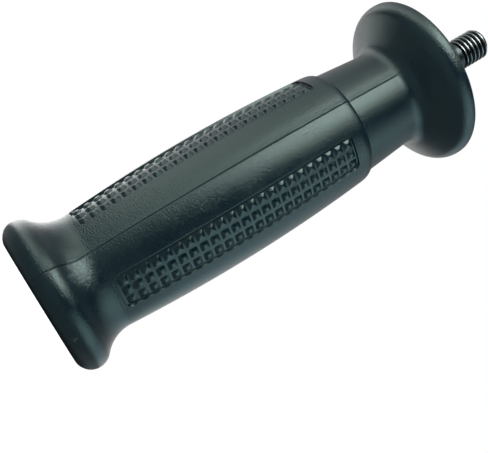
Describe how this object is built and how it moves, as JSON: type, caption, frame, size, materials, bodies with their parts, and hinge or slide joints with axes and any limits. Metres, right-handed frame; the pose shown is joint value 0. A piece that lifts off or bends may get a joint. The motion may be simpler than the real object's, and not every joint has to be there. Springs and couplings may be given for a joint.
{
  "type": "power tool side handle",
  "caption": "Auxiliary side handle of a small angle grinder: flared grip with textured panels, collar, round hand guard and threaded steel stud.",
  "frame": {"origin": "centre of the flat butt face", "axes": "+Z along the handle's axis, from the butt to the stud's tip; the mould's parting lines lie on +X and -X"},
  "size_m": [0.042, 0.042, 0.127],
  "materials": {
    "moulding": "satin black moulded plastic, slightly sheened",
    "steel": "blackened steel, bright on the thread's crests"
  },
  "bodies": {
    "root": {"moulded_handle": "moulding", "threaded_stud": "steel"}
  },
  "joints": []
}
